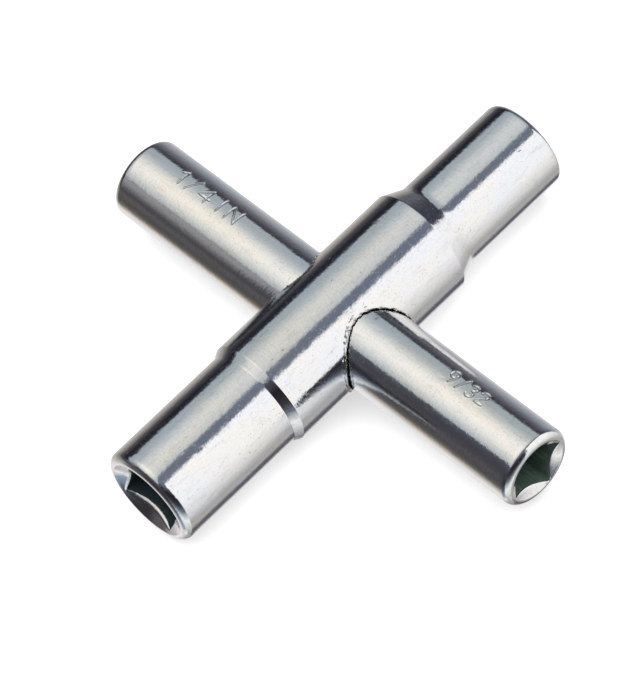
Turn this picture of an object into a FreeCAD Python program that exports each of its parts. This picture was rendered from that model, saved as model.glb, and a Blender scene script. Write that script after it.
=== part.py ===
import FreeCAD, Part
import math
import os

from FreeCAD import Vector

# Four-way square key: two steel tubes that cross at a right angle, with a square socket in
# each of the four mouths. The cross tube is pressed through a hole in the body tube.
# Millimetres, +Z up. The origin is the point where the two tubes' axes cross. The body tube
# lies along X with its larger end at -X. The cross tube lies along Y, small socket at +Y.

# Body tube: full size in the middle, and squeezed down to a smaller round at each end. Each
# step is how far the end is squeezed in, on the radius.
body_length = 78.7
body_od = 17.46
large_end_step = 0.68
large_end_length = 21.7
large_shoulder_length = 1.3
small_end_step = 1.53
small_end_length = 19.1
small_shoulder_length = 3.4
shoulder_top_blend = 0.35
large_foot_blend = 0.5
small_foot_blend = 3.0

# Cross tube: one plain round, held in the body off its middle, nearer the larger end.
cross_length = 79.4
cross_od = 12.7
cross_offset = 0.4
cross_fit_gap = 0.05

# Mouths: the rim is rounded outside, keeps a thin flat, and is countersunk inside.
large_rim_round = 1.3
small_rim_round = 1.1
cross_rim_round = 1.2
rim_land = 0.15
countersink_angle = 120.0

# Sockets: the size is across the flats, the turn is about the tube's axis.
large_square = 8.73
medium_square = 7.94
wide_cross_square = 7.14
small_cross_square = 6.35
body_square_turn = 15.0
cross_square_turn = 27.0
body_socket_depth = 17.5
cross_socket_depth = 16.0
socket_corner_round = 0.3

# A drilled bore joins the two sockets of a tube. It is narrower than both squares, so each
# socket ends in a ledge that stops the valve stem.
stop_ledge = 0.6

# How far a cutting solid runs past the face that it opens.
overrun = 2.0

ORIGIN = Vector(0, 0, 0)
X_AXIS = Vector(1, 0, 0)
Y_AXIS = Vector(0, 1, 0)
Z_AXIS = Vector(0, 0, 1)


def eased_corner(before, corner, after):
    """Start, middle and end of the tangent arc that eases a corner (x, y, blend radius)."""
    here = Vector(corner[0], corner[1], 0)
    blend = corner[2]
    if not blend:
        return here, None, here
    back = Vector(before[0], before[1], 0).sub(here).normalize()
    ahead = Vector(after[0], after[1], 0).sub(here).normalize()
    half_opening = back.getAngle(ahead) / 2
    reach = blend / math.tan(half_opening)
    inward = (back + ahead).normalize()
    middle = here + inward * (blend / math.sin(half_opening) - blend)
    return here + back * reach, middle, here + ahead * reach


def outline_face(corners):
    """Flat face inside a closed loop of corners (x, y, blend radius)."""
    following = corners[1:] + corners[:1]
    leading = corners[-1:] + corners[:-1]
    eased = [eased_corner(*three) for three in zip(leading, corners, following)]
    edges = []
    for (start, middle, end), (next_start, _, _) in zip(eased, eased[1:] + eased[:1]):
        if middle:
            edges.append(Part.Arc(start, middle, end).toShape())
        edges.append(Part.LineSegment(end, next_start).toShape())
    return Part.Face(Part.Wire(edges))


def round_bar(stations):
    """Solid turned about X from its outside stations (x, radius, blend radius)."""
    first_x = stations[0][0]
    last_x = stations[-1][0]
    corners = [(first_x, 0, 0)] + stations + [(last_x, 0, 0)]
    return outline_face(corners).revolve(ORIGIN, X_AXIS, 360)


def socket_cutter(square, depth, mouth_radius):
    """Square socket and its countersink, cut into a mouth at x = 0 that faces +X."""
    half = square / 2
    corners = [(half, half), (-half, half), (-half, -half), (half, -half)]
    section = outline_face([(x, y, socket_corner_round) for x, y in corners])
    section.rotate(ORIGIN, Y_AXIS, 90)
    section.translate(Vector(-depth, 0, 0))
    prism = section.extrude(Vector(depth + overrun, 0, 0))
    slope = math.tan(math.radians(countersink_angle / 2))
    cone_height = mouth_radius / slope + overrun
    cone_start = Vector(overrun - cone_height, 0, 0)
    cone = Part.makeCone(0, cone_height * slope, cone_height, cone_start, X_AXIS)
    return prism.fuse(cone)


def rim_radius(end_radius, rim_round):
    """Radius at which the countersink meets the rim's flat."""
    return end_radius - rim_round - rim_land


def cut_sockets(bar, start_x, end_x, turn, depth, start_socket, end_socket):
    """Cut a (square, mouth radius) socket in each end of a bar along X, and a bore between."""
    start_cutter = socket_cutter(start_socket[0], depth, start_socket[1])
    start_cutter.rotate(ORIGIN, Z_AXIS, 180)
    end_cutter = socket_cutter(end_socket[0], depth, end_socket[1])
    for cutter, mouth_x in ((start_cutter, start_x), (end_cutter, end_x)):
        cutter.rotate(ORIGIN, X_AXIS, turn)
        cutter.translate(Vector(mouth_x, 0, 0))
    bore_radius = min(start_socket[0], end_socket[0]) / 2 - stop_ledge
    bore = Part.makeCylinder(bore_radius, end_x - start_x, Vector(start_x, 0, 0), X_AXIS)
    return bar.cut([bore, start_cutter, end_cutter])


def make_body_tube():
    """Stepped tube along X, with the hole that the cross tube is pressed through."""
    large_mouth = cross_offset - body_length / 2
    small_mouth = cross_offset + body_length / 2
    large_foot = large_mouth + large_end_length
    large_top = large_foot + large_shoulder_length
    small_foot = small_mouth - small_end_length
    small_top = small_foot - small_shoulder_length
    large_radius = body_od / 2 - large_end_step
    small_radius = body_od / 2 - small_end_step
    bar = round_bar([
        (large_mouth, large_radius, large_rim_round),
        (large_foot, large_radius, large_foot_blend),
        (large_top, body_od / 2, shoulder_top_blend),
        (small_top, body_od / 2, shoulder_top_blend),
        (small_foot, small_radius, small_foot_blend),
        (small_mouth, small_radius, small_rim_round),
    ])
    large_socket = (large_square, rim_radius(large_radius, large_rim_round))
    medium_socket = (medium_square, rim_radius(small_radius, small_rim_round))
    tube = cut_sockets(bar, large_mouth, small_mouth, body_square_turn, body_socket_depth,
                       large_socket, medium_socket)
    hole_radius = cross_od / 2 + cross_fit_gap
    hole_start = Vector(0, -body_od, 0)
    return tube.cut(Part.makeCylinder(hole_radius, 2 * body_od, hole_start, Y_AXIS))


def make_cross_tube():
    """Plain tube along Y, with its wider socket at -Y."""
    mouth = cross_length / 2
    bar = round_bar([
        (-mouth, cross_od / 2, cross_rim_round),
        (mouth, cross_od / 2, cross_rim_round),
    ])
    mouth_radius = rim_radius(cross_od / 2, cross_rim_round)
    tube = cut_sockets(bar, -mouth, mouth, cross_square_turn, cross_socket_depth,
                       (wide_cross_square, mouth_radius), (small_cross_square, mouth_radius))
    tube.rotate(ORIGIN, Z_AXIS, 90)
    return tube


def single_solid(shape, name):
    """The one solid of a shape, with its seams cleaned up."""
    solids = shape.removeSplitter().Solids
    if len(solids) != 1:
        raise ValueError(f"{name} has {len(solids)} solids")
    return solids[0]


os.makedirs("parts", exist_ok=True)
for name, make in (("body_tube", make_body_tube), ("cross_tube", make_cross_tube)):
    solid = single_solid(make(), name)
    solid.exportStep(f"parts/{name}.step")
    box = solid.BoundBox
    print(name, "valid", solid.isValid(), "volume", round(solid.Volume, 1),
          "x", round(box.XMin, 3), round(box.XMax, 3),
          "y", round(box.YMin, 3), round(box.YMax, 3))
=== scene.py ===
"""Looks of a four-way square key: two bright zinc-plated steel tubes crossed at a right angle.

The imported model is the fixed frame. Each tube is rebuilt here as a finer skin that keeps the
frame's size and place, with the rims, square mouths, dents and stamped sizes of a real one.
Sizes are in millimetres until a mesh is made, and metres after that.
"""

from __future__ import annotations

import logging
import math
from dataclasses import dataclass, field
from enum import Enum
from typing import Iterable

import bmesh
import bpy
import numpy as np
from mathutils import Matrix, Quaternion, Vector, noise


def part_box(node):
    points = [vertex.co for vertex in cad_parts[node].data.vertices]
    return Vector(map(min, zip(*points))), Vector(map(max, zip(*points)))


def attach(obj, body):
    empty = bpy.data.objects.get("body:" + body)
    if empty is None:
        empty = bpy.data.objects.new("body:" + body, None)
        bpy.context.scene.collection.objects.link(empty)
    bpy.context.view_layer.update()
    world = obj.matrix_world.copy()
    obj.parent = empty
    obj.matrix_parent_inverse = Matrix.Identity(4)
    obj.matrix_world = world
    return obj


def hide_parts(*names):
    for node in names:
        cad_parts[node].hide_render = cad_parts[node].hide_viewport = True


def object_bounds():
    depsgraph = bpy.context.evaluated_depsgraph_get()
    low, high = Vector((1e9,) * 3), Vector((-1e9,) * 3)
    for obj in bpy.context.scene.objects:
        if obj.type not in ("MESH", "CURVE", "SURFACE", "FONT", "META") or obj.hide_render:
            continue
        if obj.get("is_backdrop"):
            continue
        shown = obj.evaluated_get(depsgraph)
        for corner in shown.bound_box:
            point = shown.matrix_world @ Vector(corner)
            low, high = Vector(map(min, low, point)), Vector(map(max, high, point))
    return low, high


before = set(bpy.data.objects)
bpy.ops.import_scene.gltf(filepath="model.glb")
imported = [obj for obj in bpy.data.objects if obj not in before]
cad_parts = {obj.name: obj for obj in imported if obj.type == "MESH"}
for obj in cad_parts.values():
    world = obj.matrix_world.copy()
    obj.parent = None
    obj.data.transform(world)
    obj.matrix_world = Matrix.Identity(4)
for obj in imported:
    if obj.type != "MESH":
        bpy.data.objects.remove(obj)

LOG = logging.getLogger("square_key")
MM = 0.001
TURN = 2 * math.pi

Socket = bpy.types.NodeSocket
Material = bpy.types.Material
Point = tuple[float, float, float]


# --------------------------------------------------------------------------- small helpers


def linear(hex_colour: str) -> tuple[float, float, float, float]:
    """Turn an sRGB hex colour into the linear colour that shaders read.

    Args:
        hex_colour: Six hex digits, such as "c8ccd2".

    Returns:
        Linear red, green, blue and an alpha of 1.
    """
    parts = [int(hex_colour[i:i + 2], 16) / 255 for i in (0, 2, 4)]
    curved = [c / 12.92 if c <= 0.04045 else ((c + 0.055) / 1.055) ** 2.4 for c in parts]
    return (*curved, 1.0)


def around(angles: np.ndarray, centre: float) -> np.ndarray:
    """Angles measured from a centre, from minus half a turn to half a turn."""
    return (angles - centre + math.pi) % TURN - math.pi


@dataclass(frozen=True)
class Nodes:
    """A node tree, with short ways to add the nodes that the finishes are made of."""

    tree: bpy.types.NodeTree

    def add(self, kind: str, settings: dict | None = None, inputs: dict | None = None
            ) -> bpy.types.Node:
        """Add a node with its settings, and set or link its inputs.

        Args:
            kind: The node's type name.
            settings: Attributes of the node, by name.
            inputs: Values or output sockets, by input name or index.

        Returns:
            The new node.
        """
        node = self.tree.nodes.new(kind)
        for name, value in (settings or {}).items():
            setattr(node, name, value)
        self.feed(node, inputs or {})
        return node

    def feed(self, node: bpy.types.Node, inputs: dict) -> None:
        """Set or link inputs of a node.

        Args:
            node: The node.
            inputs: Values or output sockets, by input name or index.
        """
        for key, value in inputs.items():
            if isinstance(value, Socket):
                self.tree.links.new(value, node.inputs[key])
            else:
                node.inputs[key].default_value = value

    def math(self, operation: str, *values: object) -> Socket:
        """Work out a value with a Math node.

        Args:
            operation: The node's operation.
            values: Numbers or sockets, in the order of the inputs.

        Returns:
            The result.
        """
        settings = {"operation": operation}
        return self.add("ShaderNodeMath", settings, dict(enumerate(values))).outputs[0]

    def times(self, first: object, second: object) -> Socket:
        """Product of two values."""
        return self.math("MULTIPLY", first, second)

    def plus(self, first: object, second: object) -> Socket:
        """Sum of two values."""
        return self.math("ADD", first, second)

    def most(self, first: object, second: object) -> Socket:
        """The larger of two values."""
        return self.math("MAXIMUM", first, second)

    def vector(self, operation: str, inputs: dict) -> bpy.types.NodeOutputs:
        """Outputs of a Vector Math node."""
        return self.add("ShaderNodeVectorMath", {"operation": operation}, inputs).outputs

    def ease(self, value: Socket, low: float, high: float, to_low: float = 0.0,
             to_high: float = 1.0) -> Socket:
        """Ease a value from one range into another with no corners.

        Args:
            value: The value.
            low: Where the ease starts.
            high: Where the ease ends.
            to_low: The result at low.
            to_high: The result at high.

        Returns:
            The eased value.
        """
        inputs = {"Value": value, "From Min": low, "From Max": high, "To Min": to_low,
                  "To Max": to_high}
        return self.add("ShaderNodeMapRange", {"interpolation_type": "SMOOTHSTEP"},
                        inputs).outputs[0]

    def between(self, value: Socket, low: float, high: float, soft: float) -> Socket:
        """Mask that is 1 between two values, with soft ends.

        Args:
            value: The value.
            low: Lower end.
            high: Upper end.
            soft: Width of the soft ends.

        Returns:
            The mask.
        """
        rise = self.ease(value, low - soft / 2, low + soft / 2)
        return self.times(rise, self.ease(value, high - soft / 2, high + soft / 2, 1.0, 0.0))

    def mix(self, factor: object, first: object, second: object) -> Socket:
        """Mix two colours.

        Args:
            factor: Share of the second colour.
            first: Hex colour or socket.
            second: Hex colour or socket.

        Returns:
            The mixed colour.
        """
        first, second = (linear(c) if isinstance(c, str) else c for c in (first, second))
        return self.add("ShaderNodeMix", {"data_type": "RGBA"},
                        {0: factor, 6: first, 7: second}).outputs[2]

    def millimetres(self, squeeze: Point = (1.0, 1.0, 1.0), turn: Point = (0.0, 0.0, 0.0)
                    ) -> Socket:
        """Object coordinates in millimetres, squeezed so that a pattern gets longer on an axis.

        Args:
            squeeze: Factor on each axis.
            turn: Turn about each axis, in radians.

        Returns:
            The coordinates.
        """
        place = self.add("ShaderNodeTexCoord").outputs["Object"]
        turned = self.add("ShaderNodeMapping", None, {0: place, "Rotation": turn}).outputs[0]
        return self.vector("MULTIPLY", {0: turned, 1: tuple(s / MM for s in squeeze)})[0]

    def cloud(self, place: Socket, per_mm: float, detail: float = 3.0, roughness: float = 0.5,
              warp: float = 0.0) -> Socket:
        """Soft random cloud between 0 and 1.

        Args:
            place: Coordinates in millimetres.
            per_mm: Blobs per millimetre.
            detail: Number of finer layers.
            roughness: Weight of the finer layers.
            warp: How far the pattern is pulled about.

        Returns:
            The cloud.
        """
        return self.add("ShaderNodeTexNoise", None, {
            "Vector": place, "Scale": per_mm, "Detail": detail, "Roughness": roughness,
            "Distortion": warp}).outputs[0]

    def bump(self, height: Socket, depth: float) -> Socket:
        """Normal of a surface with small relief, where a height of 1 is depth millimetres."""
        return self.add("ShaderNodeBump", None, {
            "Height": height, "Distance": depth * MM, "Strength": 1.0}).outputs[0]


def new_finish(name: str) -> tuple[Material, Nodes, bpy.types.Node]:
    """Start a material.

    Args:
        name: The material's name.

    Returns:
        The material, its nodes and its shader.
    """
    material = bpy.data.materials.new(name)
    material.use_nodes = True
    return material, Nodes(material.node_tree), material.node_tree.nodes["Principled BSDF"]


def add_object(name: str, data: bpy.types.ID) -> bpy.types.Object:
    """Put a mesh, light or camera in the scene.

    Args:
        name: The object's name.
        data: What the object holds.

    Returns:
        The object.
    """
    thing = bpy.data.objects.new(name, data)
    bpy.context.scene.collection.objects.link(thing)
    return thing


def eased_corners(corners: list[Point], run_step: float, arc_step: float
                  ) -> list[tuple[float, float]]:
    """Points along an open outline whose corners are tangent arcs.

    Args:
        corners: Corners as (along, radius, arc radius).
        run_step: Longest step on a straight run.
        arc_step: Longest step on an arc, in degrees.

    Returns:
        Points (along, radius) in order.
    """
    points: list[np.ndarray] = []
    here = np.array(corners[0][:2])
    for before, corner, after in zip(corners, corners[1:], corners[2:] + [None]):
        end = np.array(corner[:2])
        arc: list[np.ndarray] = []
        if after is not None and corner[2] > 0:
            back, ahead = (np.array(other[:2]) - end for other in (before, after))
            back, ahead = back / np.linalg.norm(back), ahead / np.linalg.norm(ahead)
            half = math.acos(float(np.clip(back @ ahead, -1, 1))) / 2
            reach = corner[2] / math.tan(half)
            middle = (back + ahead) / np.linalg.norm(back + ahead)
            centre = end + middle * corner[2] / math.sin(half)
            start, stop = end + back * reach - centre, end + ahead * reach - centre
            sweep = math.pi - 2 * half
            count = max(2, math.ceil(math.degrees(sweep) / arc_step))
            for i in range(count + 1):
                share = i / count
                turn = start * math.sin((1 - share) * sweep) + stop * math.sin(share * sweep)
                arc.append(centre + turn / math.sin(sweep))
            end = arc[0]
        count = max(1, math.ceil(np.linalg.norm(end - here) / run_step))
        points += [here + (end - here) * i / count for i in range(count)]
        points += arc[:-1]
        here = arc[-1] if arc else end
    points.append(here)
    return [(float(p[0]), float(p[1])) for p in points]


# --------------------------------------------------------------------------- square mouths


@dataclass(frozen=True)
class SquareMouth:
    """One end of a tube: rounded rim, thin flat, countersink and square socket.

    Sizes are in millimetres. The turn is the angle of a flat's normal about the tube's axis.
    The cone's run is the width of the countersink from the crest in to the square. The rows
    are shares of the way over each face, where the mesh has an edge.
    """

    barrel_radius: float
    rim_round: float
    square: float
    turn: float
    socket_depth: float
    bore_radius: float
    rim_land: float = 0.15
    countersink_angle: float = 120.0
    corner_round: float = 0.3
    edge_break: float = 0.2
    least_run: float = 0.12
    edge_share: float = 0.4
    cone_drop: float = 0.02
    bore_shown: float = 0.3
    rim_rows: int = 10
    cone_rows: tuple[float, ...] = (0.0, 0.06, 0.2, 0.6)
    bend_rows: tuple[float, ...] = (0.0, 0.25, 0.5, 0.75, 1.0)
    wall_rows: tuple[float, ...] = (0.04, 0.1, 0.25, 0.5, 0.75, 0.97, 1.0)
    ledge_rows: tuple[float, ...] = (0.1, 0.9, 1.0)

    @property
    def crest(self) -> float:
        """Radius at which the countersink starts."""
        return self.barrel_radius - self.rim_round - self.rim_land

    def flat_reach(self, angles: np.ndarray) -> np.ndarray:
        """Distance from the axis to the square's wall.

        Args:
            angles: Angles about the axis, in radians.

        Returns:
            The distance at each angle.
        """
        half = self.square / 2
        inner = half - self.corner_round
        local = (angles - math.radians(self.turn) + math.pi / 4) % (math.pi / 2) - math.pi / 4
        local = np.abs(local)
        on_flat = half / np.cos(local)
        towards = inner * (np.cos(local) + np.sin(local))
        under = towards ** 2 - 2 * inner ** 2 + self.corner_round ** 2
        on_corner = towards + np.sqrt(np.clip(under, 0, None))
        return np.where(half * np.tan(local) <= inner, on_flat, on_corner)

    def rows(self, angles: np.ndarray) -> list[tuple[np.ndarray, np.ndarray, bool]]:
        """Rows of the mouth from the end of the barrel down to the bore.

        Args:
            angles: Angles about the axis, in radians.

        Returns:
            Rows of (depth below the rim, radius, bare), with a depth and a radius for each
            angle. Bare rows are past the socket's edge, where the plate ends.
        """
        ones = np.ones_like(angles)
        rows = []
        for step in range(1, self.rim_rows + 1):
            lean = math.radians(90 * step / self.rim_rows)
            radius = self.barrel_radius - self.rim_round * (1 - math.cos(lean))
            rows.append((ones * self.rim_round * (1 - math.sin(lean)), ones * radius, False))
        reach = self.flat_reach(angles)
        slope = math.tan(math.radians(self.countersink_angle / 2))
        # The cone starts just under the rim, and where a corner of the square comes near the
        # crest a sliver of cone is left for the edge to stand on.
        run = np.maximum(self.crest - reach, self.least_run)
        start = reach + run
        edge = np.minimum(self.edge_break, self.edge_share * run)
        for share in self.cone_rows:
            radius = start - share * (run - edge)
            rows.append(((start - radius) / slope + self.cone_drop * (share > 0), radius, False))
        cone_end = run / slope
        for bend in self.bend_rows:
            before, after = (1 - bend) ** 2, bend ** 2
            radius = reach + edge * before
            rows.append((cone_end - edge / slope * before + edge * after, radius, False))
        for share in self.wall_rows:
            depth = cone_end + edge + share * (self.socket_depth - cone_end - edge)
            rows.append((depth, reach, True))
        for share in self.ledge_rows:
            radius = reach + share * (self.bore_radius - reach)
            rows.append((ones * self.socket_depth, radius, True))
        rows.append((ones * (self.socket_depth + self.bore_shown), ones * self.bore_radius, True))
        return rows


def tube_angles(count: int, square_turn: float, fine: tuple[float, float, int] | None = None
                ) -> np.ndarray:
    """Angles of a tube's lengthwise edges, closer together at the corners of its squares.

    Args:
        count: Number of even steps round the tube.
        square_turn: Turn of the squares, in degrees.
        fine: Start and end angle in degrees and the number of steps of a finer stretch.

    Returns:
        Angles in radians, in rising order.
    """
    beside_corner, room, fine_room = (-2.2, -0.8, 0.0, 0.8, 2.2), 0.35, 0.4
    degrees = {round(360 * i / count, 4) for i in range(count)}
    for quarter in range(4):
        corner = square_turn + 45 + 90 * quarter
        for offset in beside_corner:
            spot = (corner + offset) % 360
            degrees = {d for d in degrees if abs((d - spot + 180) % 360 - 180) > room}
            degrees.add(round(spot, 4))
    if fine:
        low, high, steps = fine
        degrees = {d for d in degrees if not low - fine_room < d < high + fine_room}
        degrees |= {round(low + (high - low) * i / steps, 4) for i in range(steps + 1)}
    return np.radians(sorted(degrees))


# --------------------------------------------------------------------------- stamped sizes


@dataclass(frozen=True)
class StampedSize:
    """A size struck into the tube with round-nosed letter punches, as a groove per stroke.

    The strokes are drawn on a cell one unit high. The text runs towards -Y, tops towards +X.
    """

    text: str
    start_y: float
    base_arc: float
    height: float = 2.5
    gap: float = 0.66
    width: float = 1.32
    groove_width: float = 0.42
    groove_depth: float = 0.1
    lip_height: float = 0.02
    slant: float = 0.1
    unevenness: float = 0.07
    lip_place: float = 1.25
    lip_spread: float = 0.45
    out_of_reach: float = 9.0

    @staticmethod
    def arc(x: float, y: float, rx: float, ry: float, start: float, end: float
            ) -> list[tuple[float, float]]:
        """Points on part of an ellipse.

        Args:
            x: Centre across.
            y: Centre up.
            rx: Radius across.
            ry: Radius up.
            start: First angle, in degrees.
            end: Last angle, in degrees.

        Returns:
            Thirteen points in order.
        """
        turns = [math.radians(start + (end - start) * i / 12) for i in range(13)]
        return [(x + rx * math.cos(t), y + ry * math.sin(t)) for t in turns]

    def strokes(self, letter: str) -> list[list[tuple[float, float]]]:
        """Strokes of one character.

        Args:
            letter: The character.

        Returns:
            Lines of points on a cell one unit high.
        """
        shapes = {
            "1": [[(0.08, 0.76), (0.3, 1.0), (0.3, 0.0)]],
            "2": [self.arc(0.3, 0.71, 0.27, 0.28, 170, -35) + [(0.02, 0.0), (0.6, 0.0)]],
            "3": [self.arc(0.27, 0.76, 0.25, 0.24, 155, -90)
                  + self.arc(0.27, 0.26, 0.29, 0.26, 90, -150)],
            "4": [[(0.44, 0.0), (0.44, 1.0), (0.0, 0.3), (0.62, 0.3)]],
            "9": [self.arc(0.3, 0.7, 0.26, 0.29, 0, 360), [(0.56, 0.7), (0.5, 0.35), (0.3, 0.0)]],
            "/": [[(0.08, -0.04), (0.52, 1.04)]],
            "I": [[(0.15, 0.0), (0.15, 1.0)]],
            "N": [[(0.05, 0.0), (0.05, 1.0), (0.6, 0.0), (0.6, 1.0)]],
        }
        return shapes.get(letter, [])

    def widths(self) -> list[float]:
        """Room that each character takes along the tube, with the gap after it.

        Returns:
            The rooms, in millimetres.
        """
        rooms = {" ": 0.02, "1": 0.42, "I": 0.42, "/": 0.62}
        return [rooms.get(letter, 0.62) * self.height * self.width + self.gap
                for letter in self.text]

    @property
    def length(self) -> float:
        """Length of the whole mark along the tube."""
        return sum(self.widths())

    def sink(self, along: np.ndarray, arc: np.ndarray) -> np.ndarray:
        """How far the struck surface stands above or below the plain tube.

        Args:
            along: Distance from the tube's middle along +Y, in millimetres.
            arc: Distance round the tube from its top towards +X, in millimetres.

        Returns:
            The height at each point, in millimetres.
        """
        nearest = np.full(along.shape, self.out_of_reach)
        places = self.start_y - np.cumsum([0.0, *self.widths()])
        for index, letter in enumerate(self.text):
            # Punches struck by hand stand a little unevenly.
            lift = self.base_arc + self.unevenness * math.sin(2.1 * index + 0.6)
            for stroke in self.strokes(letter):
                for pair in zip(stroke, stroke[1:]):
                    if math.dist(*pair) < 1e-6:
                        continue
                    ends = [(places[index] - (x * self.width + self.slant * y) * self.height,
                             lift + y * self.height) for x, y in pair]
                    nearest = np.minimum(nearest, distance_to_segment(along, arc, *ends))
        half = self.groove_width / 2
        groove = -self.groove_depth * np.cos(np.clip(nearest / half, 0, 1) * math.pi / 2) ** 2
        from_lip = (nearest - half * self.lip_place) / (half * self.lip_spread)
        return groove + self.lip_height * np.exp(-from_lip ** 2)


def distance_to_segment(x: np.ndarray, y: np.ndarray, start: tuple[float, float],
                        end: tuple[float, float]) -> np.ndarray:
    """Distance from points to a straight stroke.

    Args:
        x: First coordinates.
        y: Second coordinates.
        start: One end of the stroke.
        end: The other end.

    Returns:
        The distance of each point.
    """
    dx, dy = end[0] - start[0], end[1] - start[1]
    share = ((x - start[0]) * dx + (y - start[1]) * dy) / (dx * dx + dy * dy)
    share = np.clip(share, 0, 1)
    return np.hypot(x - start[0] - share * dx, y - start[1] - share * dy)


# --------------------------------------------------------------------------- wear


@dataclass(frozen=True)
class Wear:
    """Shallow unevenness of a drawn and tumbled tube: long waves and small knocks.

    Sizes are in millimetres, and the knocks come from a fixed seed.
    """

    seed: int
    knocks: int
    wave_height: float = 0.006
    wave_length: float = 4.0
    knock_depth: float = 0.03
    knock_long: tuple[float, float] = (0.3, 0.9)
    knock_wide: tuple[float, float] = (0.22, 0.4)
    depth_shares: tuple[float, float] = (0.3, 1.0)
    knocked_share: float = 0.96

    def height(self, along: np.ndarray, angle: np.ndarray, radius: np.ndarray, half_length: float
               ) -> np.ndarray:
        """How far the worn surface stands below the true one.

        Args:
            along: Distance along the tube's axis.
            angle: Angle about the axis, in radians.
            radius: Radius of the true surface.
            half_length: Half of the tube's length.

        Returns:
            The height at each point, never above the true surface.
        """
        height = np.empty(along.shape)
        for index in np.ndindex(along.shape):
            spot = Vector((along[index] / self.wave_length / 2 + self.seed,
                           radius[index] * math.cos(angle[index]) / self.wave_length,
                           radius[index] * math.sin(angle[index]) / self.wave_length))
            height[index] = noise.noise(spot) * self.wave_height - self.wave_height
        draw = np.random.default_rng(self.seed)
        knocked = half_length * self.knocked_share
        for _ in range(self.knocks):
            centre, where = draw.uniform(-knocked, knocked), draw.uniform(0, TURN)
            long, wide = draw.uniform(*self.knock_long), draw.uniform(*self.knock_wide)
            lean = draw.uniform(0, math.pi)
            depth = self.knock_depth * draw.uniform(*self.depth_shares)
            du, dv = along - centre, around(angle, where) * radius
            p = du * math.cos(lean) + dv * math.sin(lean)
            q = dv * math.cos(lean) - du * math.sin(lean)
            height -= depth * np.exp(-(p / long) ** 2 - (q / wide) ** 2)
        return height


# --------------------------------------------------------------------------- mesh making


@dataclass
class Skin:
    """Vertices and faces of one closed tube, gathered before the mesh is made."""

    points: list[Point] = field(default_factory=list)
    faces: list[tuple[int, ...]] = field(default_factory=list)
    dark: list[bool] = field(default_factory=list)

    def add_row(self, row: Iterable[Point]) -> list[int]:
        """Add points and give their numbers.

        Args:
            row: Points in millimetres.

        Returns:
            The points' numbers in the skin.
        """
        start = len(self.points)
        self.points += [tuple(float(c) for c in p) for p in row]
        return list(range(start, len(self.points)))

    def add_face(self, *corners: int, dark: bool = False) -> None:
        """Add a face.

        Args:
            corners: Numbers of its corners, in order.
            dark: Whether the face is bare metal, past the edge of the plate.
        """
        self.faces.append(corners)
        self.dark.append(dark)

    def bridge(self, first: list[int], second: list[int], dark: bool = False) -> None:
        """Join two closed rows of the same length with four-sided faces.

        Args:
            first: Numbers of one row.
            second: Numbers of the other row.
            dark: Whether the faces are bare metal, past the edge of the plate.
        """
        for i in range(len(first)):
            j = (i + 1) % len(first)
            self.add_face(first[i], first[j], second[j], second[i], dark=dark)

    def close(self, row: list[int], centre: Point) -> None:
        """Close a row with a fan of triangles.

        Args:
            row: Numbers of the row.
            centre: The fan's middle point.
        """
        middle = self.add_row([centre])[0]
        for i in range(len(row)):
            self.add_face(row[i], row[(i + 1) % len(row)], middle, dark=True)

    def build(self, name: str, materials: list[Material]) -> bpy.types.Object:
        """Make the mesh object, in metres, with its faces pointing outwards.

        Args:
            name: The object's name.
            materials: The plated finish and the finish inside the sockets.

        Returns:
            The finished object.
        """
        mesh = bpy.data.meshes.new(name)
        mesh.from_pydata([tuple(c * MM for c in p) for p in self.points], [], self.faces)
        for material in materials:
            mesh.materials.append(material)
        mesh.polygons.foreach_set("material_index", [int(d) for d in self.dark])
        mesh.polygons.foreach_set("use_smooth", [True] * len(mesh.polygons))
        work = bmesh.new()
        work.from_mesh(mesh)
        bmesh.ops.recalc_face_normals(work, faces=work.faces)
        work.to_mesh(mesh)
        work.free()
        return add_object(name, mesh)


def tube_row(angles: np.ndarray, along: np.ndarray, radius: np.ndarray, lengthwise: str
             ) -> list[Point]:
    """Points of one ring round a tube.

    Args:
        angles: Angles about the axis. On a tube along X they run from +Y to +Z, and on a
            tube along Y from +X to +Z.
        along: Distance along the axis.
        radius: Distance from the axis.
        lengthwise: "X" or "Y".

    Returns:
        The points.
    """
    side, up = radius * np.cos(angles), radius * np.sin(angles)
    columns = (along, side, up) if lengthwise == "X" else (side, along, up)
    return list(zip(*columns))


def add_mouth(skin: Skin, mouth: SquareMouth, angles: np.ndarray, last: list[int], sign: int,
              rim: float, lengthwise: str) -> list[int]:
    """Add a mouth to the end of a barrel.

    Args:
        skin: The skin that gets the faces.
        mouth: The mouth's shape.
        angles: Angles of the barrel's edges.
        last: The barrel's last row.
        sign: Which way the mouth faces along the axis.
        rim: Place of the rim along the axis.
        lengthwise: "X" or "Y".

    Returns:
        The row in which the mouth ends, in the bore.
    """
    for depth, radius, bare in mouth.rows(angles):
        row = skin.add_row(tube_row(angles, rim - sign * depth, radius, lengthwise))
        skin.bridge(last, row, dark=bare)
        last = row
    return last


# --------------------------------------------------------------------------- cross tube


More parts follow.
